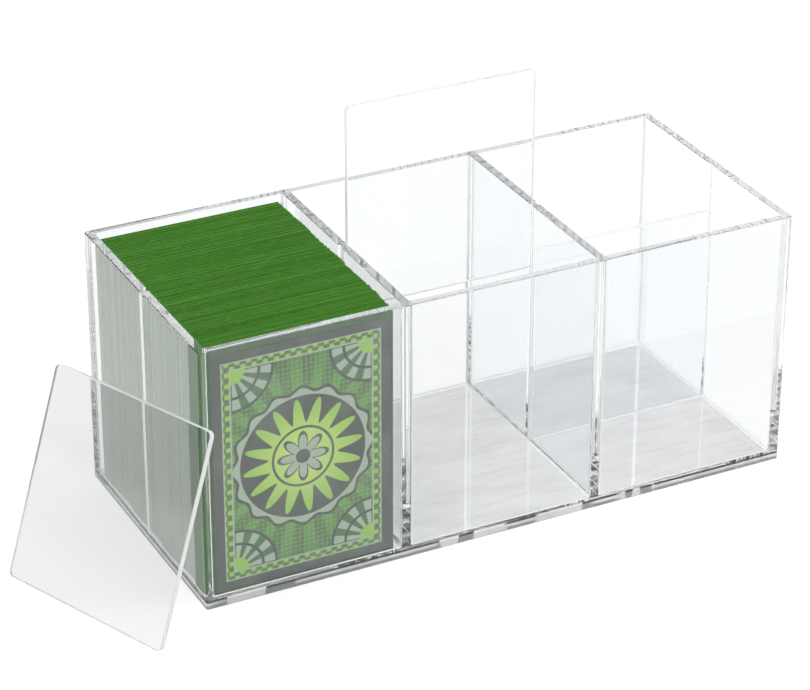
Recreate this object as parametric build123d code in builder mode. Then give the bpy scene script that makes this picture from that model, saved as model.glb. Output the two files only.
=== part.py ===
from build123d import *

import os
from math import cos, floor, radians, sin

# A clear, open-top box for upright playing cards: three bays side by side, each with a divider
# panel that slides down into a pair of upright grooves at mid-depth. The left bay holds sleeved
# cards and its divider leans on the box's front left corner, the middle divider is drawn most of
# the way up, and the right divider is fully down.
#
# Millimetres. X runs to the right along the front, Y to the back, Z up. The origin is the middle
# of the box's underside.

# --- Card and its sleeve
card_width = 63.5
card_height = 88.0
card_thickness = 0.32
card_corner_radius = 3.0
sleeve_film = 0.1
sleeve_seam = 1.0  # welded strip along both sides and the bottom of a sleeve
sleeve_slack = 0.25  # between the card's side edge and the seam
sleeve_headroom = 3.0  # from the card's top edge to the sleeve's mouth
pocket_slack = 0.02  # between the card's faces and the films

# --- Row of sleeved cards behind the front one
sleeved_card_pitch = 0.54
packet_count = 10
packet_gap = 0.1  # between neighbouring packets, and between them and the front card
row_front_gap = 0.8  # from the front panel to the front card's sleeve
row_back_gap = 1.5  # at least this is left free before the back panel
row_off_centre = 1.0  # how far left of the bay's middle the row stands
top_drop_step = 0.15  # how unevenly the sleeves' top edges stand
top_drop_stride = 2
top_drop_cycle = 5
side_shift_step = 0.2  # how unevenly the packets' sides stand
side_shift_stride = 2
side_shift_cycle = 3

# --- Box, of clear sheet
sheet_thickness = 3.0
base_thickness = 3.0
bay_count = 3
bay_depth = 92.0
card_side_clearance = 2.0  # from a sleeve's side to the bay's wall
rim_above_cards = 1.0
corner_land = 2.0  # flat left beside the rounding of the upright outer corners
rim_polish = 0.4  # rounding of the outer rim and of the foot's edge

# --- Divider panels and their grooves
divider_thickness = 2.0
divider_below_rim = 18.0  # a seated divider's top edge lies this far under the rim
divider_corner_radius = 2.0
divider_polish = 0.25
groove_depth = 0.8
groove_face_clearance = 0.25  # on each face of the divider
groove_edge_clearance = 0.25  # at each side edge of the divider
raised_divider_hold = 24.2  # how much of the raised divider is still in its grooves

# --- Divider that leans on the box
lean_yaw = -67.6  # of its bottom edge, from X, in degrees
lean_tilt = 69.0  # of its face, from the ground, in degrees
lean_overhang = 7.0  # from where it touches the box to its right edge
lean_clearance = 0.1

# --- Worked out from the sizes above
sleeve_width = card_width + 2 * (sleeve_slack + sleeve_seam)
sleeve_height = sleeve_seam + card_height + sleeve_headroom
pocket_depth = card_thickness + 2 * pocket_slack
sleeved_front_card = pocket_depth + 2 * sleeve_film
bay_width = sleeve_width + 2 * card_side_clearance
bay_pitch = bay_width + sheet_thickness
wall_height = sleeve_height + rim_above_cards
rim_height = base_thickness + wall_height
outer_width = bay_count * bay_pitch + sheet_thickness
outer_depth = bay_depth + 2 * sheet_thickness
corner_radius = sheet_thickness - corner_land
groove_width = divider_thickness + 2 * groove_face_clearance
divider_width = bay_width + 2 * (groove_depth - groove_edge_clearance)
divider_height = wall_height - divider_below_rim


def bay_centre(bay):
    """X of a bay's middle. The left bay is number 0."""
    return (bay - (bay_count - 1) / 2) * bay_pitch


def front_facing(x, y, z):
    """Plane that faces the front: its own x is the box's X, and its own y is the box's Z."""
    return Plane(origin=(x, y, z), x_dir=(1, 0, 0), z_dir=(0, -1, 0))


os.makedirs("parts", exist_ok=True)

# --- Base plate: the whole footprint, with the walls bonded on top of it
with BuildPart() as base_plate:
    with BuildSketch():
        RectangleRounded(outer_width, outer_depth, corner_radius)
    extrude(amount=base_thickness)
    fillet(base_plate.edges().group_by(Axis.Z)[0], rim_polish)
base_plate.part.label = "base_plate"
export_step(base_plate.part, "parts/base_plate.step")

# --- Front and back panels: full width, with the box's rounded corners at their ends
for name, side in (("front_panel", -1), ("back_panel", 1)):
    with BuildPart() as panel:
        with BuildSketch(Plane.XY.offset(base_thickness)):
            RectangleRounded(outer_width, outer_depth, corner_radius)
            with Locations((0, side * (outer_depth - sheet_thickness) / 2)):
                Rectangle(outer_width, sheet_thickness, mode=Mode.INTERSECT)
        extrude(amount=wall_height)
        rim = panel.edges().group_by(Axis.Z)[-1]
        inner_edge = rim.sort_by(Axis.Y)[-1 if side < 0 else 0]
        fillet(rim - ShapeList([inner_edge]), rim_polish)
    panel.part.label = name
    export_step(panel.part, f"parts/{name}.step")

# --- Side walls: between the two panels, with a groove on the inner face
for name, side in (("left_wall", -1), ("right_wall", 1)):
    with BuildPart() as wall:
        with BuildSketch(Plane.XY.offset(base_thickness)):
            with Locations((side * (outer_width - sheet_thickness) / 2, 0)):
                Rectangle(sheet_thickness, bay_depth)
            with Locations((side * (outer_width / 2 - sheet_thickness + groove_depth / 2), 0)):
                Rectangle(groove_depth, groove_width, mode=Mode.SUBTRACT)
        extrude(amount=wall_height)
        rim = wall.edges().group_by(Axis.Z)[-1]
        fillet(rim.sort_by(Axis.X)[0 if side < 0 else -1], rim_polish)
    wall.part.label = name
    export_step(wall.part, f"parts/{name}.step")

# --- Partitions: between two bays, with a groove on each face
for name, bay in (("left_partition", 0), ("right_partition", 1)):
    with BuildPart() as partition:
        partition_x = bay_centre(bay) + bay_pitch / 2
        groove_offset = (sheet_thickness - groove_depth) / 2
        with BuildSketch(Plane.XY.offset(base_thickness)):
            with Locations((partition_x, 0)):
                Rectangle(sheet_thickness, bay_depth)
            with Locations((partition_x - groove_offset, 0), (partition_x + groove_offset, 0)):
                Rectangle(groove_depth, groove_width, mode=Mode.SUBTRACT)
        extrude(amount=wall_height)
    partition.part.label = name
    export_step(partition.part, f"parts/{name}.step")

# --- Where the left divider leans. Seen from above, `along` runs with its bottom edge and
# `towards` points at the box. Its bottom edge is on the ground, and its inner face's top edge
# touches the rounded front left corner.
along = Vector(cos(radians(lean_yaw)), sin(radians(lean_yaw)), 0)
towards = Vector(-sin(radians(lean_yaw)), cos(radians(lean_yaw)), 0)
corner_centre = Vector(corner_radius - outer_width / 2, corner_radius - outer_depth / 2, 0)
stand_off = corner_radius + lean_clearance + divider_height * cos(radians(lean_tilt))
lean_plane = Plane(
    origin=corner_centre - towards * stand_off + along * (lean_overhang - divider_width / 2),
    x_dir=along * -1,
    z_dir=towards * sin(radians(lean_tilt)) - Vector(0, 0, cos(radians(lean_tilt))),
)

# --- Dividers: each stands up from its plane's origin and lies behind that plane
divider_face = -divider_thickness / 2
divider_planes = {
    "left_divider": lean_plane,
    "middle_divider": front_facing(bay_centre(1), divider_face, rim_height - raised_divider_hold),
    "right_divider": front_facing(bay_centre(2), divider_face, base_thickness),
}
for name, plane in divider_planes.items():
    with BuildPart() as divider:
        with BuildSketch(plane):
            with Locations((0, divider_height / 2)):
                RectangleRounded(divider_width, divider_height, divider_corner_radius)
        extrude(amount=-divider_thickness)
        fillet(divider.faces().sort_by(SortBy.AREA)[-2:].edges(), divider_polish)
    divider.part.label = name
    export_step(divider.part, f"parts/{name}.step")

# --- Front card in its sleeve: the sleeve's front film with the seams, the card, the back film
card_x = bay_centre(0) - row_off_centre
sleeve_front = row_front_gap - bay_depth / 2
pocket_front = sleeve_front + sleeve_film
pocket_back = pocket_front + pocket_depth

with BuildPart() as front_sleeve_window:
    with BuildSketch(front_facing(card_x, sleeve_front, base_thickness)):
        Rectangle(sleeve_width, sleeve_height, align=(Align.CENTER, Align.MIN))
    extrude(amount=-(sleeve_film + pocket_depth))
    with BuildSketch(front_facing(card_x, pocket_front, base_thickness + sleeve_seam)):
        Rectangle(
            sleeve_width - 2 * sleeve_seam,
            sleeve_height - sleeve_seam,
            align=(Align.CENTER, Align.MIN),
        )
    extrude(amount=-pocket_depth, mode=Mode.SUBTRACT)
front_sleeve_window.part.label = "front_sleeve_window"
export_step(front_sleeve_window.part, "parts/front_sleeve_window.step")

with BuildPart() as front_card:
    with BuildSketch(front_facing(card_x, pocket_front + pocket_slack, base_thickness + sleeve_seam)):
        with Locations((0, card_height / 2)):
            RectangleRounded(card_width, card_height, card_corner_radius)
    extrude(amount=-card_thickness)
front_card.part.label = "front_card"
export_step(front_card.part, "parts/front_card.step")

with BuildPart() as front_sleeve_back:
    with BuildSketch(front_facing(card_x, pocket_back, base_thickness)):
        Rectangle(sleeve_width, sleeve_height, align=(Align.CENTER, Align.MIN))
    extrude(amount=-sleeve_film)
front_sleeve_back.part.label = "front_sleeve_back"
export_step(front_sleeve_back.part, "parts/front_sleeve_back.step")

# --- Packets of sleeved cards behind the front card. As many cards as the bay has room for stand
# on the base plate, and their top edges make a small, repeating unevenness.
row_start = sleeve_front + sleeved_front_card + packet_gap
row_length = bay_depth / 2 - row_back_gap - row_start
packet_space = row_length / packet_count - packet_gap
cards_per_packet = floor(packet_space / sleeved_card_pitch)
packet_pitch = cards_per_packet * sleeved_card_pitch + packet_gap

for packet in range(packet_count):
    packet_front = row_start + packet * packet_pitch
    side_place = (packet * side_shift_stride) % side_shift_cycle
    side_shift = side_shift_step * (side_place - (side_shift_cycle - 1) / 2)
    outline = [(packet_front, base_thickness)]
    for card in range(cards_per_packet):
        card_number = packet * cards_per_packet + card
        drop = top_drop_step * ((card_number * top_drop_stride) % top_drop_cycle)
        card_top = base_thickness + sleeve_height - drop
        card_front = packet_front + card * sleeved_card_pitch
        outline += [(card_front, card_top), (card_front + sleeved_card_pitch, card_top)]
    outline.append((packet_front + cards_per_packet * sleeved_card_pitch, base_thickness))
    with BuildPart() as card_packet:
        with BuildSketch(Plane.YZ.offset(card_x + side_shift)):
            with BuildLine():
                Polyline(outline, close=True)
            make_face()
        extrude(amount=sleeve_width / 2, both=True)
    card_packet.part.label = f"card_packet_{packet + 1:02d}"
    export_step(card_packet.part, f"parts/card_packet_{packet + 1:02d}.step")
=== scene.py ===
import logging
import math
import random
from collections.abc import Callable, Iterable, Sequence
from dataclasses import dataclass
from enum import Enum

import bmesh
import bpy
from mathutils import Matrix, Vector


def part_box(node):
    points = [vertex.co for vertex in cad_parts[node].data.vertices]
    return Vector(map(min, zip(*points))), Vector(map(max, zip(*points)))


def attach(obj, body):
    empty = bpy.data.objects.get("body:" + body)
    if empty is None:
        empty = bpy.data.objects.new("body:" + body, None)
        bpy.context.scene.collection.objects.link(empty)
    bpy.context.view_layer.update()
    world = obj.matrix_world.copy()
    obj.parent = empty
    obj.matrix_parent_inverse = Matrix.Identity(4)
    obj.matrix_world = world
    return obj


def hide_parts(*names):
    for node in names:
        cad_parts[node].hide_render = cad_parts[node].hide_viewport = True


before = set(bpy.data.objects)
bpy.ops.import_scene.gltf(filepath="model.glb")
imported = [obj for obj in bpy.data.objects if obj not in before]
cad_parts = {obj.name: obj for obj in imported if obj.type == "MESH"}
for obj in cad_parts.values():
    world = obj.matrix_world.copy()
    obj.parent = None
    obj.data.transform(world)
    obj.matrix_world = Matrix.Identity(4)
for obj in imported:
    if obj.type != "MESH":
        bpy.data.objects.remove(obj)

Colour = tuple[float, float, float]
Point2 = tuple[float, float]
Point3 = tuple[float, float, float]
MM = 0.001
ACRYLIC_INDEX = 1.49
MILKY_WHITE: Colour = (0.985, 0.988, 0.99)
SHARP_ANGLE = math.radians(50)
SQUARE_TO_AXIS = 0.9995  # least part along one axis of a flat face's normal
log = logging.getLogger("card_box")


def from_screen(red: int, green: int, blue: int) -> Colour:
    """Turns a colour as a screen shows it, 0 to 255 a channel, into the linear light that shaders take.

    Args:
        red: Red, 0 to 255.
        green: Green, 0 to 255.
        blue: Blue, 0 to 255.

    Returns:
        The linear colour, 0 to 1 a channel.
    """
    linear = []
    for level in (red / 255, green / 255, blue / 255):
        linear.append(level / 12.92 if level <= 0.04045 else ((level + 0.055) / 1.055) ** 2.4)
    return linear[0], linear[1], linear[2]


class Field:
    """A number that varies over a surface: a node socket that takes part in arithmetic."""

    def __init__(self, graph: "Graph", socket: bpy.types.NodeSocket) -> None:
        """Holds a socket.

        Args:
            graph: The node graph that the socket belongs to.
            socket: The output socket that gives the number.
        """
        self.graph = graph
        self.socket = socket

    def calc(self, operation: str, *others: "Field | float") -> "Field":
        """Works out a new field with a math node.

        Args:
            operation: The math node's operation.
            others: Its further inputs.

        Returns:
            The result.
        """
        node = self.graph.add("ShaderNodeMath", operation=operation)
        for place, value in enumerate((self, *others)):
            self.graph.feed(node.inputs[place], value)
        return Field(self.graph, node.outputs[0])

    def __add__(self, other: "Field | float") -> "Field":
        """The sum."""
        return self.calc("ADD", other)

    def __sub__(self, other: "Field | float") -> "Field":
        """The difference."""
        return self.calc("SUBTRACT", other)

    def __mul__(self, other: "Field | float") -> "Field":
        """The product."""
        return self.calc("MULTIPLY", other)

    def __truediv__(self, other: "Field | float") -> "Field":
        """The quotient."""
        return self.calc("DIVIDE", other)

    def below(self, limit: "Field | float", soft: float) -> "Field":
        """A mask that is 1 where the field is under a limit, and fades to 0 over a short step.

        Args:
            limit: The limit.
            soft: The width of the step.

        Returns:
            The mask, 0 to 1.
        """
        step = (self - limit) * (-1 / soft) + 0.5
        return step.calc("MINIMUM", 1.0).calc("MAXIMUM", 0.0)

    def between(self, low: float, high: float, soft: float) -> "Field":
        """A mask that is 1 from a low limit to a high one.

        Args:
            low: The low limit.
            high: The high limit.
            soft: The width of the step at each.

        Returns:
            The mask, 0 to 1.
        """
        return (self - (low + high) / 2).calc("ABSOLUTE").below((high - low) / 2, soft)


class Graph:
    """A material's nodes, with short ways to add and join them."""

    def __init__(self, name: str) -> None:
        """Starts a material with one shader joined to its output.

        Args:
            name: The material's name.
        """
        self.material = bpy.data.materials.new(name)
        self.material.use_nodes = True
        self.tree = self.material.node_tree
        self.tree.nodes.clear()
        self.shader = self.add("ShaderNodeBsdfPrincipled")
        self.output = self.add("ShaderNodeOutputMaterial")
        self.tree.links.new(self.shader.outputs[0], self.output.inputs["Surface"])

    def add(self, kind: str, **settings: object) -> bpy.types.Node:
        """Adds a node.

        Args:
            kind: The node's type.
            settings: Values for its properties.

        Returns:
            The node.
        """
        node = self.tree.nodes.new(kind)
        for key, value in settings.items():
            setattr(node, key, value)
        return node

    def feed(self, socket: bpy.types.NodeSocket, value: "Field | float | Colour") -> None:
        """Gives an input socket a value, or joins a field to it.

        Args:
            socket: The input.
            value: A field, a number or a colour.
        """
        if isinstance(value, Field):
            self.tree.links.new(value.socket, socket)
        elif isinstance(value, tuple) and socket.type == "RGBA":
            socket.default_value = (*value, 1.0)
        else:
            socket.default_value = value

    def set(self, **values: "Field | float | Colour") -> None:
        """Sets the shader's inputs. An underscore in a key stands for a space.

        Args:
            values: Values by the input's name.
        """
        for key, value in values.items():
            self.feed(self.shader.inputs[key.replace("_", " ")], value)

    def acrylic(
        self, colour: "Field | Colour", clearness: "Field | float", roughness: "Field | float"
    ) -> None:
        """Makes the shader acrylic of a colour, from milky at a clearness of 0 to clear at 1."""
        self.set(Base_Color=colour, Transmission_Weight=clearness, IOR=ACRYLIC_INDEX, Roughness=roughness)

    def place(self) -> tuple[Field, Field, Field]:
        """Gives the point on the object, in the box's own axes.

        Returns:
            X, Y and Z in millimetres.
        """
        coordinates = self.add("ShaderNodeTexCoord")
        split = self.add("ShaderNodeSeparateXYZ")
        self.tree.links.new(coordinates.outputs["Object"], split.inputs[0])
        x, y, z = (Field(self, output) / MM for output in split.outputs)
        return x, y, z

    def noise(self, stretch: Point3, detail: float = 3.0, roughness: float = 0.55) -> Field:
        """Noise over the object.

        Args:
            stretch: Size of the noise's blobs along X, Y and Z, in millimetres.
            detail: How many finer layers it has.
            roughness: How strong those are.

        Returns:
            The noise, about 0 to 1.
        """
        coordinates = self.add("ShaderNodeTexCoord")
        mapping = self.add("ShaderNodeMapping")
        mapping.inputs["Scale"].default_value = [1 / (size * MM) for size in stretch]
        texture = self.add("ShaderNodeTexNoise")
        texture.inputs["Scale"].default_value = 1.0
        texture.inputs["Detail"].default_value = detail
        texture.inputs["Roughness"].default_value = roughness
        self.tree.links.new(coordinates.outputs["Object"], mapping.inputs["Vector"])
        self.tree.links.new(mapping.outputs[0], texture.inputs["Vector"])
        return Field(self, texture.outputs[0])

    def mix(self, mask: "Field | float", first: "Field | Colour", second: "Field | Colour") -> Field:
        """Mixes two colours.

        Args:
            mask: 0 for the first and 1 for the second.
            first: The first colour.
            second: The second colour.

        Returns:
            The mixed colour.
        """
        node = self.add("ShaderNodeMix", data_type="RGBA")
        self.feed(node.inputs[0], mask)
        self.feed(node.inputs[6], first)
        self.feed(node.inputs[7], second)
        return Field(self, node.outputs[2])

    def bump(self, height: Field, depth: float, strength: float) -> None:
        """Gives the shader a bump.

        Args:
            height: The relief, 0 to 1.
            depth: How deep a relief of 1 is, in millimetres.
            strength: How strongly it shows, 0 to 1.
        """
        node = self.add("ShaderNodeBump")
        node.inputs["Strength"].default_value = strength
        node.inputs["Distance"].default_value = depth * MM
        self.feed(node.inputs["Height"], height)
        self.tree.links.new(node.outputs[0], self.shader.inputs["Normal"])


@dataclass(frozen=True)
class ClearSheet:
    """Clear acrylic sheet."""

    name: str = "clear_sheet"
    tint: Colour = (0.948, 0.956, 0.960)
    index: float = ACRYLIC_INDEX
    roughness: float = 0.0
    ripple_size: float = 26.0
    ripple_depth: float = 0.02
    ripple_strength: float = 0.25
    shine: float = 0.0
    shine_index: float = 1.7

    def tint_field(self, graph: Graph) -> Field | Colour:
        """The sheet's tint, the same all over."""
        return self.tint

    def material(self) -> bpy.types.Material:
        """The sheet's material: clear, smooth, and very slightly rippled.

        Returns:
            The material.
        """
        graph = Graph(self.name)
        graph.set(
            Base_Color=self.tint_field(graph),
            Transmission_Weight=1.0,
            IOR=self.index,
            Roughness=self.roughness,
            Coat_Weight=self.shine,
            Coat_Roughness=0.0,
            Coat_IOR=self.shine_index,
        )
        size = self.ripple_size
        graph.bump(graph.noise((size, size, size), 2.0), self.ripple_depth, self.ripple_strength)
        return graph.material


@dataclass(frozen=True)
class RimSheet(ClearSheet):
    """Polished rim of the clear sheet, with painted reflection: pale on the outer walls, greyer on the
    partitions.
    """

    name: str = "polished_rim"
    # Both greys are painted reflection: they stand in for the darker surroundings that the clear rims
    # refract.
    tint: Colour = (0.86, 0.875, 0.885)
    grey: Colour = (0.56, 0.57, 0.58)
    partition_x: float = 36.5
    partition_half: float = 1.8
    patch_size: float = 12.0
    patch_strength: float = 0.6
    ripple_size: float = 9.0
    ripple_depth: float = 0.05
    ripple_strength: float = 0.5

    def tint_field(self, graph: Graph) -> Field | Colour:
        """Makes the rim's tint of painted reflection, greyer over the partitions and in a few soft patches.

        Args:
            graph: The node graph.

        Returns:
            The tint.
        """
        x, _, _ = graph.place()
        off_partition = (x.calc("ABSOLUTE") - self.partition_x).calc("ABSOLUTE")
        size = self.patch_size
        patches = graph.noise((size, size, size), 1.0).below(0.4, 0.06) * self.patch_strength
        mask = off_partition.below(self.partition_half, 0.3).calc("MAXIMUM", patches)
        return graph.mix(mask, self.tint, self.grey)


@dataclass(frozen=True)
class PanelSheet:
    """Clear sheet of a loose panel: polished faces, and milky edges that catch the light."""

    across: Point3
    name: str = "divider_sheet"
    tint: Colour = (0.955, 0.965, 0.965)
    milk: Colour = (0.975, 0.98, 0.98)
    clearness: float = 0.4
    edge_roughness: float = 0.25
    saw_mark: float = 0.9

    def material(self) -> bpy.types.Material:
        """The panel's material: clear faces across the panel's thickness, and milky edges.

        Returns:
            The material.
        """
        graph = Graph(self.name)
        coordinates = graph.add("ShaderNodeTexCoord")
        facing = graph.add("ShaderNodeVectorMath", operation="DOT_PRODUCT")
        graph.tree.links.new(coordinates.outputs["Normal"], facing.inputs[0])
        facing.inputs[1].default_value = self.across
        edge = Field(graph, facing.outputs["Value"]).calc("ABSOLUTE").below(0.5, 0.1)
        saw_marks = graph.noise((self.saw_mark, self.saw_mark, self.saw_mark), 2.0)
        colour = graph.mix(edge, self.tint, self.milk)
        graph.acrylic(colour, edge * (self.clearness - 1.0) + 1.0, edge * self.edge_roughness)
        graph.bump(saw_marks * edge, 0.04, 0.3)
        return graph.material


@dataclass(frozen=True)
class FrostedLine:
    """Clear sheet where a cutter or the bonding has left it milky: grooves, seams and sawn edges; on the
    seams the milky white is also painted highlight.
    """

    name: str = "milled_groove"
    colour: Colour = MILKY_WHITE
    dull: Colour = from_screen(232, 235, 238)
    clearness: float = 0.4
    roughness: float = 0.2
    chatter: float = 1.1

    def material(self) -> bpy.types.Material:
        """The milky line's material: part clear and part white, with fine tool marks.

        Returns:
            The material.
        """
        graph = Graph(self.name)
        marks = graph.noise((self.chatter, self.chatter, self.chatter * 3), 2.0)
        colour = graph.mix(marks.below(0.42, 0.2) * 0.6, self.colour, self.dull)
        graph.acrylic(colour, self.clearness, self.roughness)
        graph.bump(marks, 0.02, 0.2)
        return graph.material


def painted_reflection_blocks(graph: Graph) -> tuple[Field, Field]:
    """Where painted reflection on the foot shows in blocks, in place of plain lines.

    Args:
        graph: The node graph.

    Returns:
        A mask of the stretches with blocks, and one of the dark blocks in them.
    """
    stretches = graph.noise((30.0, 30.0, 90.0), 0.0).below(0.44, 0.03)
    blocks = graph.noise((6.0, 6.0, 40.0), 0.0).below(0.48, 0.04)
    return stretches, blocks


@dataclass(frozen=True)
class FootEdge:
    """Edge of the base plate, with painted reflection: a bright line above a grey one, and stretches of
    bright and dark blocks.
    """

    name: str = "base_plate_edge"
    # The bright and grey colours are painted reflection: what the polished edge would mirror of its
    # surroundings.
    bright: Colour = MILKY_WHITE
    grey: Colour = from_screen(164, 166, 170)
    line_height: float = 1.5
    clearness: float = 0.45
    roughness: float = 0.05
    saw_mark: Point3 = (1.6, 1.6, 4.8)

    def material(self) -> bpy.types.Material:
        """The edge's material: half clear, over its painted lines and blocks of reflection.

        Returns:
            The material.
        """
        graph = Graph(self.name)
        _, _, z = graph.place()
        stretches, blocks = painted_reflection_blocks(graph)
        grey = graph.mix(z.below(self.line_height, 0.4), self.bright, self.grey)
        blocky = graph.mix(blocks, self.bright, self.grey)
        graph.acrylic(graph.mix(stretches, grey, blocky), self.clearness, self.roughness)
        graph.bump(graph.noise(self.saw_mark, 2.0), 0.02, 0.2)
        return graph.material


@dataclass(frozen=True)
class PaintedReflectionLine:
    """Dark line of painted reflection at the foot, where the walls are bonded to the base plate."""

    name: str = "foot_reflection_line"
    # Both colours are painted reflection of the dark surroundings, not a colour of the bond.
    dark: Colour = from_screen(62, 64, 67)
    bright: Colour = MILKY_WHITE
    clearness: float = 0.3
    roughness: float = 0.1

    def material(self) -> bpy.types.Material:
        """The line's material: dark painted reflection, broken by bright stretches of painted reflection.

        Returns:
            The material.
        """
        graph = Graph(self.name)
        stretches, blocks = painted_reflection_blocks(graph)
        bright_blocks = stretches * (blocks * -1.0 + 1.0)
        graph.acrylic(graph.mix(bright_blocks, self.dark, self.bright), self.clearness, self.roughness)
        return graph.material


@dataclass(frozen=True)
class ShadedSmudgedUnderside:
    """Underside of the base plate: grey with painted shadow from the box above it, and smudged where it rubs
    on the table.
    """

    name: str = "shaded_smudged_underside"
    # The tint is painted shadow: the grey of the shade under the box. The smudge colour is real dirt.
    tint: Colour = (0.895, 0.905, 0.915)
    smudge: Colour = (0.62, 0.63, 0.65)
    roughness: float = 0.03
    patch_size: Point3 = (34.0, 16.0, 30.0)
    streak_size: Point3 = (22.0, 2.6, 20.0)

    def material(self) -> bpy.types.Material:
        """The underside's material: clear grey of painted shadow, with soft smudges drawn out along the box.

        Returns:
            The material.
        """
        graph = Graph(self.name)
        patches = graph.noise(self.patch_size, 3.0)
        streaks = graph.noise(self.streak_size, 3.0)
        mask = patches.below(0.46, 0.28) * 0.6 + streaks.below(0.4, 0.2) * 0.4
        graph.acrylic(graph.mix(mask, self.tint, self.smudge), 1.0, self.roughness)
        return graph.material


@dataclass(frozen=True)
class ClearFilm:
    """Thin clear film of a sleeve's window."""

    name: str = "window_film"
    colour: Colour = from_screen(205, 215, 205)
    cover: float = 0.04
    roughness: float = 0.12
    wrinkle_size: Point3 = (9.0, 9.0, 14.0)

    def material(self) -> bpy.types.Material:
        """The film's material: mostly see-through, with a satin shine and soft wrinkles.

        Returns:
            The material.
        """
        graph = Graph(self.name)
        graph.set(Base_Color=self.colour, Alpha=self.cover, Roughness=self.roughness)
        graph.bump(graph.noise(self.wrinkle_size, 2.0), 0.05, 0.3)
        return graph.material


@dataclass(frozen=True)
class SleeveGreen:
    """Opaque coloured film of the sleeves' backs, as a row of top edges shows it."""

    name: str = "sleeve_green"
    deep: Colour = from_screen(74, 134, 44)
    middle: Colour = from_screen(88, 154, 55)
    light: Colour = from_screen(116, 170, 84)
    roughness: float = 0.38
    sleeve_size: Point3 = (160.0, 0.5, 160.0)
    wear_size: Point3 = (4.0, 0.35, 4.0)
    relief_size: Point3 = (1.2, 0.3, 1.2)

    def material(self) -> bpy.types.Material:
        """The film's material: green that changes from sleeve to sleeve, with worn, pale edges.

        Returns:
            The material.
        """
        graph = Graph(self.name)
        each_sleeve = graph.noise(self.sleeve_size, 1.0)
        along = graph.noise(self.wear_size, 3.0)
        body = graph.mix(each_sleeve.below(0.5, 0.25), self.middle, self.deep)
        worn = (along * -1.0 + 1.0).below(0.4, 0.12) * 0.45
        graph.set(Base_Color=graph.mix(worn, body, self.light), Roughness=self.roughness)
        graph.bump(graph.noise(self.relief_size, 2.0), 0.06, 0.4)
        return graph.material


@dataclass(frozen=True)
class SleeveSide:
    """Stacked side seams of the sleeves, pale where the clear and the green film are welded."""

    name: str = "sleeve_side"
    pale: Colour = from_screen(118, 134, 119)
    shade: Colour = from_screen(112, 128, 112)
    roughness: float = 0.5
    stripe_size: Point3 = (5.0, 0.45, 90.0)
    patch_size: Point3 = (20.0, 9.0, 40.0)

    def material(self) -> bpy.types.Material:
        """The seams' material: pale grey-green with fine upright stripes.

        Returns:
            The material.
        """
        graph = Graph(self.name)
        stripes = graph.noise(self.stripe_size, 2.0)
        patches = graph.noise(self.patch_size, 2.0)
        mask = (stripes * 0.7 + patches * 0.3).below(0.5, 0.3)
        graph.set(Base_Color=graph.mix(mask, self.pale, self.shade), Roughness=self.roughness)
        graph.bump(stripes, 0.04, 0.2)
        return graph.material


@dataclass(frozen=True)
class CardEdge:
    """Cut edge of a card."""

    name: str = "card_edge"
    colour: Colour = from_screen(225, 226, 215)
    fibre: Colour = from_screen(190, 190, 178)
    roughness: float = 0.8
    fibre_size: Point3 = (0.6, 0.2, 0.6)

    def material(self) -> bpy.types.Material:
        """The edge's material: off-white paper with fine fibres.

        Returns:
            The material.
        """
        graph = Graph(self.name)
        fibres = graph.noise(self.fibre_size, 3.0)
        shade = graph.mix(fibres.below(0.45, 0.2) * 0.4, self.colour, self.fibre)
        graph.set(Base_Color=shade, Roughness=self.roughness)
        return graph.material


class Painting:
    """The card's print so far, and where each point lies on the card, in millimetres."""

    def __init__(self, graph: Graph, centre: Point2, half_size: Point2) -> None:
        """Works out the places that the layers are drawn from.

        Args:
            graph: The print's node graph.
            centre: X and Z of the card's middle.
            half_size: Half the card's width and half its height.
        """
        x, _, z = graph.place()
        self.graph = graph
        self.across = x - centre[0]
        self.upward = z - centre[1]
        self.side = self.across.calc("ABSOLUTE")
        self.height = self.upward.calc("ABSOLUTE")
        self.inset = (self.side * -1.0 + half_size[0]).calc("MINIMUM", self.height * -1.0 + half_size[1])
        self.reach = (self.across * self.across + self.upward * self.upward).calc("SQRT")
        self.turn = self.upward.calc("ARCTAN2", self.across)
        self.colour: Field | Colour = (0.0, 0.0, 0.0)

    def lay(self, mask: Field, colour: Field | Colour) -> None:
        """Lays a colour over the print so far, as far as a mask of 0 to 1 says."""
        self.colour = self.graph.mix(mask, self.colour, colour)


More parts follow.
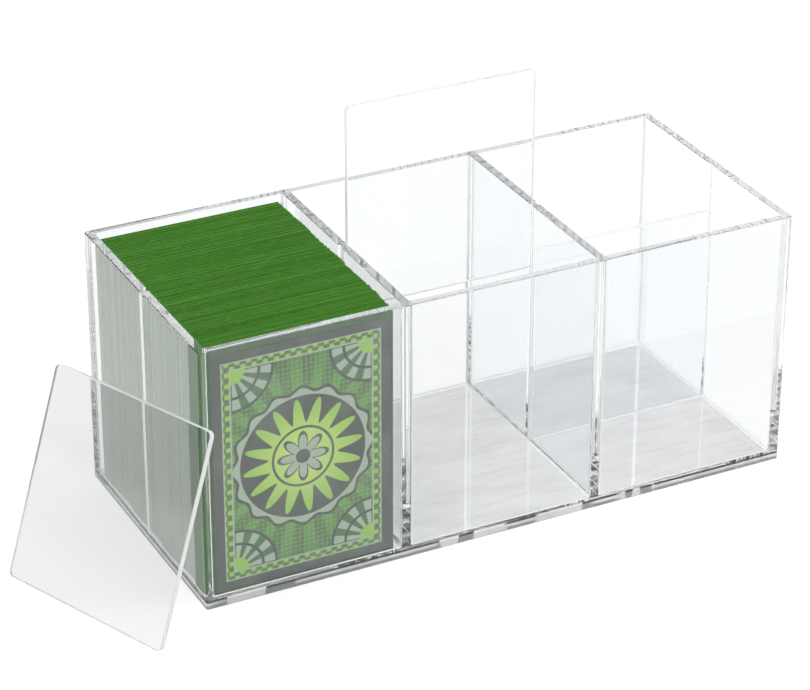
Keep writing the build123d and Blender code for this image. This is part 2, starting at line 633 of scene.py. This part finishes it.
@dataclass(frozen=True)
class CardPrint:
    """Print on the front card: a symmetric medallion in greens inside a dark border, sized in millimetres."""

    centre: Point2
    half_width: float
    half_height: float
    name: str = "card_print"
    border: Colour = from_screen(44, 54, 48)
    line: Colour = from_screen(160, 178, 156)
    deep: Colour = from_screen(10, 38, 14)
    field: Colour = from_screen(30, 96, 28)
    meadow: Colour = from_screen(96, 168, 44)
    bright: Colour = from_screen(140, 196, 44)
    glow: Colour = from_screen(198, 226, 104)
    glow_radius: float = 44.0
    ray_count: float = 24.0
    weave: float = 1.9
    fan_inset: float = 7.0
    fan_blades: float = 14.0
    fan_rim: float = 15.0
    fan_radius: float = 14.0
    fan_ring: Point2 = (9.2, 10.2)
    fan_hub: float = 4.5
    points: float = 16.0
    scallop_radius: float = 24.4
    scallop_depth: float = 0.9
    scallop_line: float = 1.1
    disc_radius: float = 22.6
    flame_start: float = 12.5
    flame_length: float = 9.0
    sun_radius: float = 20.0
    sun_ring: Point2 = (10.4, 11.3)
    petal_start: float = 4.2
    petal_length: float = 5.2
    petal_line: float = 1.3
    flower_hub: float = 2.6
    bead: float = 1.6
    inner_line: float = 6.6
    beaded_band: float = 6.0
    outer_line: float = 3.7
    border_width: float = 3.2
    roughness: float = 0.42

    def ground(self, drawing: Painting) -> None:
        """Paints the ground: green that darkens outwards, with rays and a fine weave.

        Args:
            drawing: The print so far.
        """
        outwards = (drawing.reach / self.glow_radius).calc("POWER", 1.6).calc("MINIMUM", 1.0)
        drawing.colour = drawing.graph.mix(outwards, self.meadow, self.field)
        drawing.lay((drawing.turn * self.ray_count).calc("SINE").below(0.0, 0.25) * 0.5, self.deep)
        rising = ((drawing.across + drawing.upward) * self.weave).calc("SINE")
        falling = ((drawing.across - drawing.upward) * self.weave).calc("SINE")
        drawing.lay((rising * falling).below(-0.25, 0.3) * 0.35, self.bright)

    def corner_fans(self, drawing: Painting) -> None:
        """Paints a fan of blades in each corner.

        Args:
            drawing: The print so far.
        """
        across = drawing.side - (self.half_width - self.fan_inset)
        upward = drawing.height - (self.half_height - self.fan_inset)
        reach = (across * across + upward * upward).calc("SQRT")
        blades = (upward.calc("ARCTAN2", across) * self.fan_blades).calc("SINE").below(0.0, 0.3)
        drawing.lay(reach.below(self.fan_rim, 0.3), self.deep)
        drawing.lay(reach.below(self.fan_radius, 0.3), drawing.graph.mix(blades, self.line, self.field))
        drawing.lay(reach.between(*self.fan_ring, 0.25), self.deep)
        drawing.lay(reach.below(self.fan_hub, 0.3), self.bright)

    def medallion(self, drawing: Painting) -> None:
        """Paints the medallion: a scalloped disc, a sun with pointed flames, and a flower in it.

        Args:
            drawing: The print so far.
        """
        reach = drawing.reach
        scallop = (drawing.turn * self.points).calc("COSINE") * self.scallop_depth + self.scallop_radius
        drawing.lay(reach.below(scallop + self.scallop_line, 0.3), self.deep)
        drawing.lay(reach.below(scallop, 0.3), self.line)
        drawing.lay(reach.below(self.disc_radius, 0.3), self.deep)
        burst = (drawing.turn * self.points).calc("SINE") * 0.5 + 0.5
        sun = drawing.graph.mix((reach / self.sun_radius).calc("POWER", 1.4), self.glow, self.bright)
        drawing.lay(reach.below(burst * self.flame_length + self.flame_start, 0.5), sun)
        drawing.lay(reach.between(*self.sun_ring, 0.25), self.deep)
        lobes = (drawing.turn * 4.0).calc("COSINE").calc("ABSOLUTE")
        petal = lobes * self.petal_length + self.petal_start
        drawing.lay(reach.below(petal, 0.35), self.deep)
        drawing.lay(reach.below(petal - self.petal_line, 0.35), self.line)
        drawing.lay(reach.below(self.flower_hub, 0.3), self.deep)

    def edging(self, drawing: Painting) -> None:
        """Paints the beaded band between two lines, and the dark border round it.

        Args:
            drawing: The print so far.
        """
        beads = (drawing.across * self.bead).calc("SINE") * (drawing.upward * self.bead).calc("SINE")
        band = drawing.graph.mix(beads.below(0.15, 0.4) * 0.8, self.bright, self.deep)
        drawing.lay(drawing.inset.below(self.inner_line, 0.2), self.line)
        drawing.lay(drawing.inset.below(self.beaded_band, 0.2), band)
        drawing.lay(drawing.inset.below(self.outer_line, 0.2), self.line)
        drawing.lay(drawing.inset.below(self.border_width, 0.2), self.border)

    def material(self) -> bpy.types.Material:
        """The print's material: its layers, a little worn, on coated card.

        Returns:
            The material.
        """
        graph = Graph(self.name)
        drawing = Painting(graph, self.centre, (self.half_width, self.half_height))
        for layer in (self.ground, self.corner_fans, self.medallion, self.edging):
            layer(drawing)
        worn = graph.noise((14.0, 14.0, 14.0), 2.0).below(0.42, 0.2)
        drawing.lay(worn * 0.12, self.line)
        graph.set(Base_Color=drawing.colour, Roughness=self.roughness)
        graph.bump(graph.noise((0.5, 0.5, 0.5), 3.0), 0.01, 0.12)
        return graph.material


class SheetPart(Enum):
    """The parts of the clear box's surface, numbered as its materials are."""

    FACE = 0
    EDGE = 1
    GROOVE = 2
    SEAM = 3
    UNDERSIDE = 4
    FLOOR = 5
    BOND_LINE = 6
    FOOT = 7
    CONTACT = 8


class PacketPart(Enum):
    """The parts of a packet's surface, numbered as its materials are."""

    FILM = 0
    SIDE = 1
    CARD = 2


def let_light_through(piece: bpy.types.Object) -> None:
    """Keeps a clear piece from holding back the lamps' light, which would leave its inside dark."""
    piece.visible_shadow = False
    piece.visible_diffuse = False


def finish_node(node: str, material: bpy.types.Material) -> bpy.types.Object:
    """Gives a carried-over node its finish.

    Args:
        node: The node's name.
        material: The finish.

    Returns:
        The node's object.
    """
    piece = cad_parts[node]
    for place in piece.material_slots:
        place.material = material
    log.info("%s: finish %s", node, material.name)
    return piece


def piece_from(
    shape: bmesh.types.BMesh, name: str, materials: Sequence[bpy.types.Material]
) -> bpy.types.Object:
    """Makes a scene object from a bmesh, smooth on its roundings and plain on its flat faces.

    Args:
        shape: The mesh, which is freed.
        name: The object's name.
        materials: Its materials, in the order of the faces' indices.

    Returns:
        The object.
    """
    mesh = bpy.data.meshes.new(name)
    shape.to_mesh(mesh)
    shape.free()
    for material in materials:
        mesh.materials.append(material)
    mesh.set_sharp_from_angle(angle=SHARP_ANGLE)
    for face in mesh.polygons:
        face.use_smooth = max(abs(axis) for axis in face.normal) < SQUARE_TO_AXIS
    piece = bpy.data.objects.new(name, mesh)
    bpy.context.scene.collection.objects.link(piece)
    return piece


# Places in a bay's outline
FRONT_LEFT, FRONT_RIGHT, BACK_RIGHT, BACK_LEFT = 0, 1, 6, 7
RIGHT_GROOVE = slice(2, 6)
LEFT_GROOVE = slice(8, 12)


@dataclass
class Tray:
    """The clear box: base plate, outer walls and partitions, bonded into one clear piece."""

    finishes: dict[SheetPart, bpy.types.Material]
    groove_depth: float = 0.8 * MM
    groove_width: float = 2.5 * MM
    corner_radius: float = 1.0 * MM
    corner_steps: int = 8
    rim_polish: float = 0.4 * MM
    mouth_polish: float = 0.18 * MM
    tolerance: float = 0.01 * MM
    seam_fillet: float = 0.75 * MM
    # Height of the band at the foot that holds the painted reflection line.
    reflection_line_height: float = 0.8 * MM
    contact_strip: float = 7.5 * MM  # as far behind the front panel as the wall shows the sleeves' green
    least_turn: float = math.radians(20)
    plates: tuple[str, ...] = (
        "base_plate",
        "front_panel",
        "back_panel",
        "left_wall",
        "right_wall",
        "left_partition",
        "right_partition",
    )

    def __post_init__(self) -> None:
        """Takes the box's main sizes from the frame."""
        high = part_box("base_plate")[1]
        self.half_width = high.x
        self.half_depth = high.y
        self.floor = high.z
        self.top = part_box("front_panel")[1].z
        self.inner_y = -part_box("front_panel")[1].y
        walls = [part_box(name) for name in ("left_wall", "left_partition", "right_partition", "right_wall")]
        self.bay_spans = [(left[1].x, right[0].x) for left, right in zip(walls, walls[1:])]

    def outer_outline(self) -> list[Point2]:
        """Draws the footprint with its rounded corners.

        Returns:
            Its points, counter-clockwise from the left end of the front panel's inner face.
        """
        points: list[Point2] = []
        radius = self.corner_radius
        quarters = ((-1, -1, 180), (1, -1, 270), (1, 1, 0), (-1, 1, 90))
        for x_side, y_side, start in quarters:
            before_arc = (x_side, y_side) in ((-1, -1), (1, 1))
            seam = (x_side * self.half_width, y_side * self.inner_y)
            if before_arc:
                points.append(seam)
            for step in range(self.corner_steps + 1):
                angle = math.radians(start + 90 * step / self.corner_steps)
                x = x_side * (self.half_width - radius) + radius * math.cos(angle)
                y = y_side * (self.half_depth - radius) + radius * math.sin(angle)
                points.append((x, y))
            if not before_arc:
                points.append(seam)
        return points

    def bay_outline(self, span: Point2) -> list[Point2]:
        """Draws a bay's inside, counter-clockwise from its front left corner, with a groove in each side.

        Args:
            span: X of the bay's left and right sides.

        Returns:
            Twelve points: front left, front right, four of the right groove, back right, back left,
            four of the left groove.
        """
        left, right = span
        half = self.groove_width / 2
        deep = self.groove_depth
        return [
            (left, -self.inner_y),
            (right, -self.inner_y),
            (right, -half),
            (right + deep, -half),
            (right + deep, half),
            (right, half),
            (right, self.inner_y),
            (left, self.inner_y),
            (left, half),
            (left - deep, half),
            (left - deep, -half),
            (left, -half),
        ]

    def shell(self) -> bmesh.types.BMesh:
        """Builds the sharp-edged box.

        Returns:
            One closed mesh.
        """
        shape = bmesh.new()

        def ring(points: Iterable[Point2], z: float) -> list[bmesh.types.BMVert]:
            """Adds an outline's vertices at a height."""
            return [shape.verts.new((x, y, z)) for x, y in points]

        def skirt(low: list[bmesh.types.BMVert], high: list[bmesh.types.BMVert]) -> None:
            """Joins two rings with upright faces.

            Args:
                low: The lower ring.
                high: The upper ring.
            """
            for place in range(len(low)):
                after = (place + 1) % len(low)
                shape.faces.new((low[place], low[after], high[after], high[place]))

        outline = self.outer_outline()
        heights = (0.0, self.floor - self.reflection_line_height / 2, self.floor + self.reflection_line_height / 2, self.top)
        outer_rings = [ring(outline, z) for z in heights]
        for low, high in zip(outer_rings, outer_rings[1:]):
            skirt(low, high)
        outer_high = outer_rings[-1]
        shape.faces.new(outer_rings[0])
        bays = []
        for span in self.bay_spans:
            low = ring(self.bay_outline(span), self.floor)
            high = ring(self.bay_outline(span), self.top)
            skirt(low, high)
            shape.faces.new(low)
            bays.append(high)

        half = len(outline) // 2
        front = outer_high[:half]
        back = outer_high[half:]
        inner_front = [corner for bay in reversed(bays) for corner in (bay[FRONT_RIGHT], bay[FRONT_LEFT])]
        inner_back = [corner for bay in bays for corner in (bay[BACK_LEFT], bay[BACK_RIGHT])]
        shape.faces.new(front + inner_front)
        shape.faces.new(back + inner_back)
        left_sides = [[bay[FRONT_LEFT], *reversed(bay[LEFT_GROOVE]), bay[BACK_LEFT]] for bay in bays]
        right_sides = [[bay[BACK_RIGHT], *reversed(bay[RIGHT_GROOVE]), bay[FRONT_RIGHT]] for bay in bays]
        shape.faces.new([back[-1], front[0], *left_sides[0]])
        shape.faces.new([front[-1], back[0], *right_sides[-1]])
        for right_side, left_side in zip(right_sides, left_sides[1:]):
            shape.faces.new(left_side + right_side)
        bmesh.ops.recalc_face_normals(shape, faces=shape.faces)
        return shape

    def soften(self, shape: bmesh.types.BMesh) -> None:
        """Rounds the bonded seams inside, the bays' mouths, the outer rim and the foot's edge.

        Args:
            shape: The box's mesh.
        """
        near = 1e-6
        outer_x = self.half_width - self.corner_radius
        outer_y = self.half_depth - self.corner_radius
        corners = [(x, y) for span in self.bay_spans for x in span for y in (-self.inner_y, self.inner_y)]

        def level(edge: bmesh.types.BMEdge, z: float) -> bool:
            """Whether an edge lies at a height."""
            return all(abs(vert.co.z - z) < near for vert in edge.verts)

        def upright_corner(edge: bmesh.types.BMEdge) -> bool:
            """Tells whether an edge is a bay's upright corner.

            Args:
                edge: The edge.

            Returns:
                True for an upright corner.
            """
            first, second = (vert.co for vert in edge.verts)
            if abs(first.z - second.z) < self.floor:
                return False
            return any(abs(first.x - x) < near and abs(first.y - y) < near for x, y in corners)

        def floor_seam(edge: bmesh.types.BMEdge) -> bool:
            """Whether an edge is a bay's bottom edge, other than the short ones in a groove."""
            return level(edge, self.floor) and edge.calc_length() > self.groove_width + near

        def turns(edge: bmesh.types.BMEdge) -> bool:
            """Whether the faces beside an edge meet at an angle."""
            return len(edge.link_faces) == 2 and edge.calc_face_angle() > self.least_turn

        def outside(edge: bmesh.types.BMEdge) -> bool:
            """Whether an edge lies on the outer footprint."""
            middle = (edge.verts[0].co + edge.verts[1].co) / 2
            return abs(middle.x) > outer_x or abs(middle.y) > outer_y

        def soften_edges(
            test: Callable[[bmesh.types.BMEdge], bool], size: float, steps: int, part: SheetPart
        ) -> None:
            """Rounds the edges that pass a test.

            Args:
                test: The test.
                size: How far the rounding reaches.
                steps: The number of faces across it.
                part: The part of the box that it becomes.
            """
            edges = [edge for edge in shape.edges if turns(edge) and test(edge)]
            bmesh.ops.bevel(
                shape,
                geom=edges,
                offset=size,
                offset_type="OFFSET",
                segments=steps,
                profile=0.5,
                affect="EDGES",
                clamp_overlap=True,
                material=part.value,
            )

        soften_edges(
            lambda edge: upright_corner(edge) or floor_seam(edge), self.seam_fillet, 3, SheetPart.SEAM
        )
        soften_edges(
            lambda edge: level(edge, self.top) and not outside(edge), self.mouth_polish, 2, SheetPart.EDGE
        )
        soften_edges(lambda edge: level(edge, self.top) and outside(edge), self.rim_polish, 3, SheetPart.EDGE)
        soften_edges(lambda edge: level(edge, 0.0), self.rim_polish, 3, SheetPart.EDGE)

    def part_of(self, face: bmesh.types.BMFace) -> SheetPart:
        """Tells what a flat face of the box is.

        Args:
            face: The face.

        Returns:
            The rim, the underside, a bay's floor, the painted reflection line at the bond along the front and
            the left, the base plate's edge, a groove's bottom, or a plain face of the sheet.
        """
        middle = face.calc_center_median()
        if abs(middle.z - self.top) < self.rim_polish / 2:
            return SheetPart.EDGE
        if middle.z < self.rim_polish / 2:
            return SheetPart.UNDERSIDE
        if abs(middle.z - self.floor) < self.tolerance:
            if face.normal.z > 0.5:
                return SheetPart.FLOOR
            # Only the faces turned to the front and the left get the painted reflection line.
            return SheetPart.BOND_LINE if min(face.normal.x, face.normal.y) < -0.3 else SheetPart.FACE
        if middle.z < self.floor:
            return SheetPart.FOOT
        near = self.tolerance
        in_bay = any(left - near < middle.x < right + near for left, right in self.bay_spans)
        inside = abs(middle.x) < self.half_width - near
        if abs(middle.y) < self.groove_width / 4 and not in_bay and inside:
            return SheetPart.GROOVE
        return SheetPart.FACE

    def mark_contact(self, shape: bmesh.types.BMesh) -> None:
        """Marks the strip of the left wall beside the first sleeves, which shows their colour.

        Args:
            shape: The box's mesh.
        """
        inner_x = self.bay_spans[0][0]
        strip_end = self.contact_strip - self.inner_y

        def on_wall(face: bmesh.types.BMFace) -> bool:
            """Tells whether a face is the front half of the left wall's inner side.

            Args:
                face: The face.

            Returns:
                True for that half.
            """
            middle = face.calc_center_median()
            flush = abs(middle.x - inner_x) < self.tolerance and face.normal.x > 0.9
            return flush and middle.y < -self.groove_width and face.calc_area() > self.contact_strip**2

        walls = [face for face in shape.faces if on_wall(face)]
        parts = [part for face in walls for part in (face, *face.edges, *face.verts)]
        cut = bmesh.ops.bisect_plane(shape, geom=parts, plane_co=(0, strip_end, 0), plane_no=(0, 1, 0))
        for face in cut["geom"]:
            if isinstance(face, bmesh.types.BMFace) and face.calc_center_median().y < strip_end:
                face.material_index = SheetPart.CONTACT.value

    def bonded_clear(self, face: bmesh.types.BMFace) -> bool:
        """Tells whether a face of the bonded seams came out clear, and not milky.

        Args:
            face: The face.

        Returns:
            True for the seams along the front panel.
        """
        return face.calc_center_median().y < self.seam_fillet - self.inner_y

    def build(self) -> bpy.types.Object:
        """Builds the box in place of its plates.

        Returns:
            The box's object.
        """
        shape = self.shell()
        self.soften(shape)
        for face in shape.faces:
            if face.material_index == SheetPart.FACE.value:
                face.material_index = self.part_of(face).value
            elif face.material_index == SheetPart.SEAM.value and self.bonded_clear(face):
                face.material_index = SheetPart.FACE.value
        self.mark_contact(shape)
        open_edges = sum(1 for edge in shape.edges if len(edge.link_faces) != 2)
        tray = piece_from(shape, "clear_tray", [self.finishes[part] for part in SheetPart])
        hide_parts(*self.plates)
        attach(tray, "box")
        let_light_through(tray)
        log.info("clear_tray: %d faces, %d open edges", len(tray.data.polygons), open_edges)
        return tray


@dataclass
class Dividers:
    """The three lift-out panels, which keep their solids' shape."""

    lean_yaw: float = math.radians(-67.6)
    lean_tilt: float = math.radians(69.0)
    # Painted shade: the leaning panel is the same acrylic as the others, tinted darker for how light falls on
    # it.
    leaning_painted_shade: Colour = (0.84, 0.852, 0.848)

    def dress(self) -> None:
        """Gives each panel its clear finish, with painted shade in the leaning panel's tint."""
        level = math.sin(self.lean_tilt)
        lean = (-math.sin(self.lean_yaw) * level, math.cos(self.lean_yaw) * level, -math.cos(self.lean_tilt))
        leaning = PanelSheet(lean, "leaning_divider_shaded_sheet", self.leaning_painted_shade).material()
        upright = PanelSheet((0.0, 1.0, 0.0)).material()
        finishes = {"left_divider": leaning, "middle_divider": upright, "right_divider": upright}
        for name, finish in finishes.items():
            let_light_through(finish_node(name, finish))


@dataclass
class FrontCard:
    """The front card in its sleeve: a clear window, the printed card and the coloured back."""

    film: bpy.types.Material
    back: bpy.types.Material

    def dress(self) -> None:
        """Gives the card its print and the sleeve its films."""
        low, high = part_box("front_card")
        middle = (low + high) / 2 / MM
        size = (high - low) / MM
        artwork = CardPrint(
            centre=(middle.x, middle.z),
            half_width=size.x / 2,
            half_height=size.z / 2,
        )
        finish_node("front_card", artwork.material())
        let_light_through(finish_node("front_sleeve_window", self.film))
        finish_node("front_sleeve_back", self.back)


@dataclass
class CardPacket:
    """A packet of sleeved cards, each sleeve open at its top with the card's edge down inside."""

    node: str
    finishes: dict[PacketPart, bpy.types.Material]
    seed: int
    cards: int = 16
    film_thickness: float = 0.13 * MM
    mouth_depth: float = 2.0 * MM
    front_lower: float = 0.3 * MM
    air: float = 0.05 * MM
    uneven_top: float = 0.55 * MM
    uneven_side: float = 0.06 * MM
    uneven_roll: float = math.radians(0.1)

    def sleeve(self, shape: bmesh.types.BMesh, front: float, thickness: float, chance: random.Random) -> None:
        """Adds one sleeved card: its profile from the side, drawn out to the sleeve's width.

        Args:
            shape: The packet's mesh.
            front: Y of the sleeve's front face.
            thickness: The sleeve's thickness with its card.
            chance: The packet's random numbers.
        """
        low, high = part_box(self.node)
        middle_x = (low.x + high.x) / 2 + chance.uniform(-1, 1) * self.uneven_side
        half = (high.x - low.x) / 2
        bottom = low.z + self.air
        top = high.z - chance.random() ** 2 * self.uneven_top
        film = self.film_thickness
        back = front + thickness
        profile = (
            (front, bottom),
            (front, top - self.front_lower),
            (front + film, top - self.front_lower),
            (front + film, top - self.mouth_depth),
            (back - film, top - self.mouth_depth),
            (back - film, top),
            (back, top),
            (back, bottom),
        )
        left = [shape.verts.new((middle_x - half, y, z)) for y, z in profile]
        right = [shape.verts.new((middle_x + half, y, z)) for y, z in profile]
        mouth_bottom = 3  # the profile's stretch between the two films, where the card's edge lies
        count = len(profile)
        for place in range(count):
            after = (place + 1) % count
            face = shape.faces.new((left[place], left[after], right[after], right[place]))
            part = PacketPart.CARD if place == mouth_bottom else PacketPart.FILM
            face.material_index = part.value
        for end in (left, right):
            shape.faces.new(end).material_index = PacketPart.SIDE.value
        turn = Matrix.Rotation(chance.uniform(-1, 1) * self.uneven_roll, 3, "Y")
        pivot = Vector((middle_x, front, bottom))
        bmesh.ops.rotate(shape, verts=left + right, cent=pivot, matrix=turn)

    def build(self) -> bpy.types.Object:
        """Builds the packet in place of its solid.

        Returns:
            The packet's object.
        """
        chance = random.Random(self.seed)
        low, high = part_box(self.node)
        pitch = (high.y - low.y) / self.cards
        shape = bmesh.new()
        for number in range(self.cards):
            self.sleeve(shape, low.y + number * pitch, pitch - self.air, chance)
        bmesh.ops.recalc_face_normals(shape, faces=shape.faces)
        name = self.node.replace("card_packet", "sleeved_cards")
        packet = piece_from(shape, name, [self.finishes[part] for part in PacketPart])
        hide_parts(self.node)
        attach(packet, self.node)
        log.info("%s: %d sleeved cards", packet.name, self.cards)
        return packet


@dataclass
class Softbox:
    """A large soft lamp."""

    name: str
    place: Point3
    aim: Point3
    width: float
    height: float
    power: float

    def build(self) -> bpy.types.Object:
        """Hangs the lamp and points it at its aim.

        Returns:
            The lamp.
        """
        light = bpy.data.lights.new(self.name, "AREA")
        light.shape = "RECTANGLE"
        light.size = self.width
        light.size_y = self.height
        light.energy = self.power
        lamp = bpy.data.objects.new(self.name, light)
        lamp.location = self.place
        towards = Vector(self.aim) - Vector(self.place)
        lamp.rotation_euler = towards.to_track_quat("-Z", "Y").to_euler()
        bpy.context.scene.collection.objects.link(lamp)
        return lamp


@dataclass
class Studio:
    """The pale floor, the surroundings, the lamps and the camera."""

    floor_size: float = 24.0
    floor_bounce: Colour = (0.8, 0.8, 0.8)
    floor_shadow: Colour = (0.40, 0.40, 0.41)
    floor_white: float = 0.66
    floor_drop: float = 0.05 * MM
    dome_strength: float = 0.9
    # Sine of the height above the horizon, and the dome's level there
    dome_levels: tuple[Point2, ...] = (
        (0.0, 1.0),
        (0.013, 1.0),
        (0.018, 0.26),
        (0.43, 0.24),
        (0.47, 0.07),
        (0.56, 0.07),
        (0.60, 0.3),
        (0.70, 0.9),
        (1.0, 1.0),
    )
    bounces: int = 64
    lens: float = 140.24
    sensor_width: float = 36.0
    camera_place: Point3 = (-0.44575, -0.85843, 0.56883)
    camera_forward: Point3 = (0.39623, 0.78674, -0.47334)
    camera_up: Point3 = (0.21161, 0.42340, 0.88088)

    def floor(self) -> bpy.types.Object:
        """Lays the floor: white to the eye, in glass too, and it keeps the object's soft shadow.

        Returns:
            The floor.
        """
        shape = bmesh.new()
        half = self.floor_size / 2
        places = ((-half, -half), (half, -half), (half, half), (-half, half))
        shape.faces.new([shape.verts.new((x, y, 0.0)) for x, y in places])
        graph = Graph("studio_floor")
        tree = graph.tree
        tree.nodes.remove(graph.shader)
        path = graph.add("ShaderNodeLightPath")
        seen = Field(graph, path.outputs["Is Camera Ray"])
        seen = seen + Field(graph, path.outputs["Is Glossy Ray"])
        seen = (seen + Field(graph, path.outputs["Is Transmission Ray"])).calc("MINIMUM", 1.0)
        bounce = graph.add("ShaderNodeBsdfDiffuse")
        bounce.inputs["Color"].default_value = (*self.floor_bounce, 1.0)
        shadow = graph.add("ShaderNodeBsdfDiffuse")
        shadow.inputs["Color"].default_value = (*self.floor_shadow, 1.0)
        white = graph.add("ShaderNodeEmission")
        white.inputs["Strength"].default_value = self.floor_white
        both = graph.add("ShaderNodeAddShader")
        tree.links.new(shadow.outputs[0], both.inputs[0])
        tree.links.new(white.outputs[0], both.inputs[1])
        choice = graph.add("ShaderNodeMixShader")
        tree.links.new(seen.socket, choice.inputs[0])
        tree.links.new(bounce.outputs[0], choice.inputs[1])
        tree.links.new(both.outputs[0], choice.inputs[2])
        tree.links.new(choice.outputs[0], graph.output.inputs["Surface"])
        floor = piece_from(shape, "studio_floor", (graph.material,))
        floor.location.z = -self.floor_drop
        return floor

    def surroundings(self) -> None:
        """Sets the world: white to the eye, and for light a pale dome with a darker belt."""
        world = bpy.data.worlds.new("studio_dome")
        bpy.context.scene.world = world
        world.use_nodes = True
        tree = world.node_tree
        tree.nodes.clear()
        coordinates = tree.nodes.new("ShaderNodeTexCoord")
        split = tree.nodes.new("ShaderNodeSeparateXYZ")
        tree.links.new(coordinates.outputs["Generated"], split.inputs[0])
        ramp = tree.nodes.new("ShaderNodeValToRGB")
        tree.links.new(split.outputs["Z"], ramp.inputs[0])
        elements = ramp.color_ramp.elements
        while len(elements) < len(self.dome_levels):
            elements.new(0.5)
        for element, (height, level) in zip(elements, self.dome_levels):
            element.position = height
            element.color = (level, level, level, 1.0)
        path = tree.nodes.new("ShaderNodeLightPath")
        dome = tree.nodes.new("ShaderNodeBackground")
        tree.links.new(ramp.outputs[0], dome.inputs["Color"])
        dome.inputs["Strength"].default_value = self.dome_strength
        white = tree.nodes.new("ShaderNodeBackground")
        choice = tree.nodes.new("ShaderNodeMixShader")
        output = tree.nodes.new("ShaderNodeOutputWorld")
        white.inputs["Color"].default_value = (1.0, 1.0, 1.0, 1.0)
        tree.links.new(path.outputs["Is Camera Ray"], choice.inputs[0])
        tree.links.new(dome.outputs[0], choice.inputs[1])
        tree.links.new(white.outputs[0], choice.inputs[2])
        tree.links.new(choice.outputs[0], output.inputs["Surface"])

    def lamps(self) -> None:
        """Hangs the soft lamps."""
        middle = (0.0, 0.0, 0.05)
        Softbox("overhead_softbox", (0.1, 0.25, 1.6), middle, width=1.5, height=1.0, power=7.0).build()
        Softbox("left_softbox", (-1.5, -0.9, 1.0), middle, width=0.9, height=0.9, power=15.0).build()
        Softbox("right_softbox", (1.5, -0.7, 1.1), middle, width=0.8, height=1.0, power=12.5).build()

    def camera(self) -> None:
        """Sets up the camera."""
        forward = Vector(self.camera_forward).normalized()
        up = Vector(self.camera_up).normalized()
        right = forward.cross(up).normalized()
        up = right.cross(forward)
        data = bpy.data.cameras.new("camera")
        data.lens = self.lens
        data.sensor_width = self.sensor_width
        camera = bpy.data.objects.new("camera", data)
        turn = Matrix((right, up, -forward)).transposed().to_4x4()
        camera.matrix_world = Matrix.Translation(self.camera_place) @ turn
        bpy.context.scene.collection.objects.link(camera)
        bpy.context.scene.camera = camera

    def build(self) -> None:
        """Builds the studio."""
        self.floor()
        self.surroundings()
        self.lamps()
        self.camera()
        scene = bpy.context.scene
        scene.view_settings.view_transform = "Standard"
        scene.cycles.max_bounces = self.bounces
        scene.cycles.glossy_bounces = self.bounces
        scene.cycles.transmission_bounces = self.bounces


def main() -> None:
    """Builds the card box piece by piece, then the studio around it."""
    logging.basicConfig(level=logging.INFO, format="%(name)s: %(message)s")
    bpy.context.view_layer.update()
    tray_finishes = {
        SheetPart.FACE: ClearSheet().material(),
        SheetPart.EDGE: RimSheet().material(),
        SheetPart.GROOVE: FrostedLine().material(),
        # The seams' near-white is partly the bonding and partly painted highlight, for light that their
        # fillets reflect within the sheet.
        SheetPart.SEAM: FrostedLine("bonded_seam", clearness=0.05, roughness=0.3, chatter=2.5).material(),
        SheetPart.UNDERSIDE: ShadedSmudgedUnderside().material(),
        SheetPart.FLOOR: ClearSheet("polished_floor", shine=1.0).material(),
        SheetPart.BOND_LINE: PaintedReflectionLine().material(),
        SheetPart.FOOT: FootEdge().material(),
        SheetPart.CONTACT: ClearSheet("sleeve_contact", index=1.02, ripple_strength=0.0).material(),
    }
    Tray(tray_finishes).build()
    Dividers().dress()
    sleeve_back = SleeveGreen(
        "sleeve_back",
        deep=from_screen(34, 78, 28),
        middle=from_screen(42, 92, 34),
        light=from_screen(60, 108, 50),
    )
    FrontCard(ClearFilm().material(), sleeve_back.material()).dress()
    green_side = SleeveSide(
        "green_sleeve_side", pale=from_screen(60, 104, 52), shade=from_screen(46, 88, 38)
    )
    packet_finishes = {
        PacketPart.FILM: SleeveGreen().material(),
        PacketPart.SIDE: SleeveSide().material(),
        PacketPart.CARD: CardEdge().material(),
    }
    first_finishes = {**packet_finishes, PacketPart.SIDE: green_side.material()}
    packets = sorted(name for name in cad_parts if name.startswith("card_packet"))
    for seed, node in enumerate(packets, start=11):
        CardPacket(node, first_finishes if node == packets[0] else packet_finishes, seed).build()
    Studio().build()


if __name__ == "__main__":
    main()
